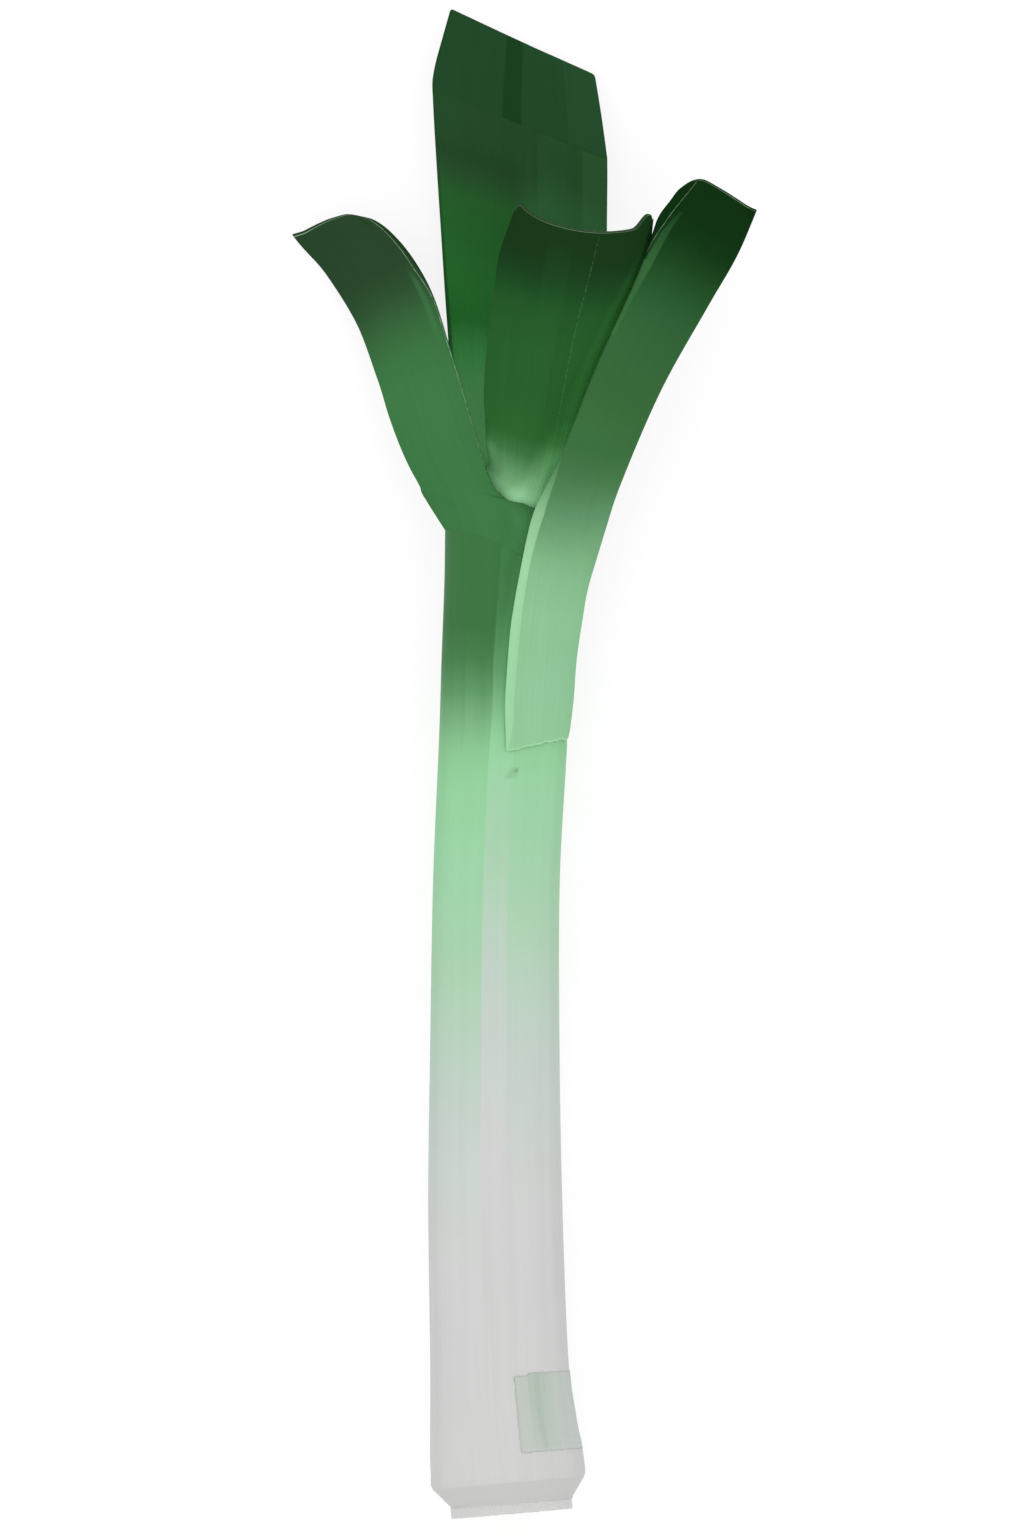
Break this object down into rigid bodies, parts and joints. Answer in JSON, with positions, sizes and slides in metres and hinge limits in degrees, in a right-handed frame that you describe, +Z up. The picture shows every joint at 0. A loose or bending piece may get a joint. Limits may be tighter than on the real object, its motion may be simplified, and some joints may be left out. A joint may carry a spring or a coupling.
{
  "type": "long green onion",
  "caption": "Trimmed long green onion lying on its side: thick pale shank with a cut root plate, a torn skin patch and flat channelled leaves spreading from the top.",
  "frame": {"origin": "centre of the bounding box in X and Y, on the surface that the onion lies on", "axes": "+Y along the onion from the root plate to the leaf tips, +X to the right seen from above with the leaves away from the viewer, +Z up from the surface"},
  "size_m": [0.1174, 0.3814, 0.055],
  "materials": {
    "shank": "satin",
    "root_plate": "matte",
    "torn_skin": "satin",
    "leaf_right": "satin",
    "leaf_left": "satin",
    "leaf_middle": "satin",
    "leaf_back": "satin"
  },
  "bodies": {
    "root": {"shank": "shank", "root_plate": "root_plate", "torn_skin": "torn_skin", "leaf_right": "leaf_right", "leaf_left": "leaf_left", "leaf_middle": "leaf_middle", "leaf_back": "leaf_back"}
  },
  "joints": []
}
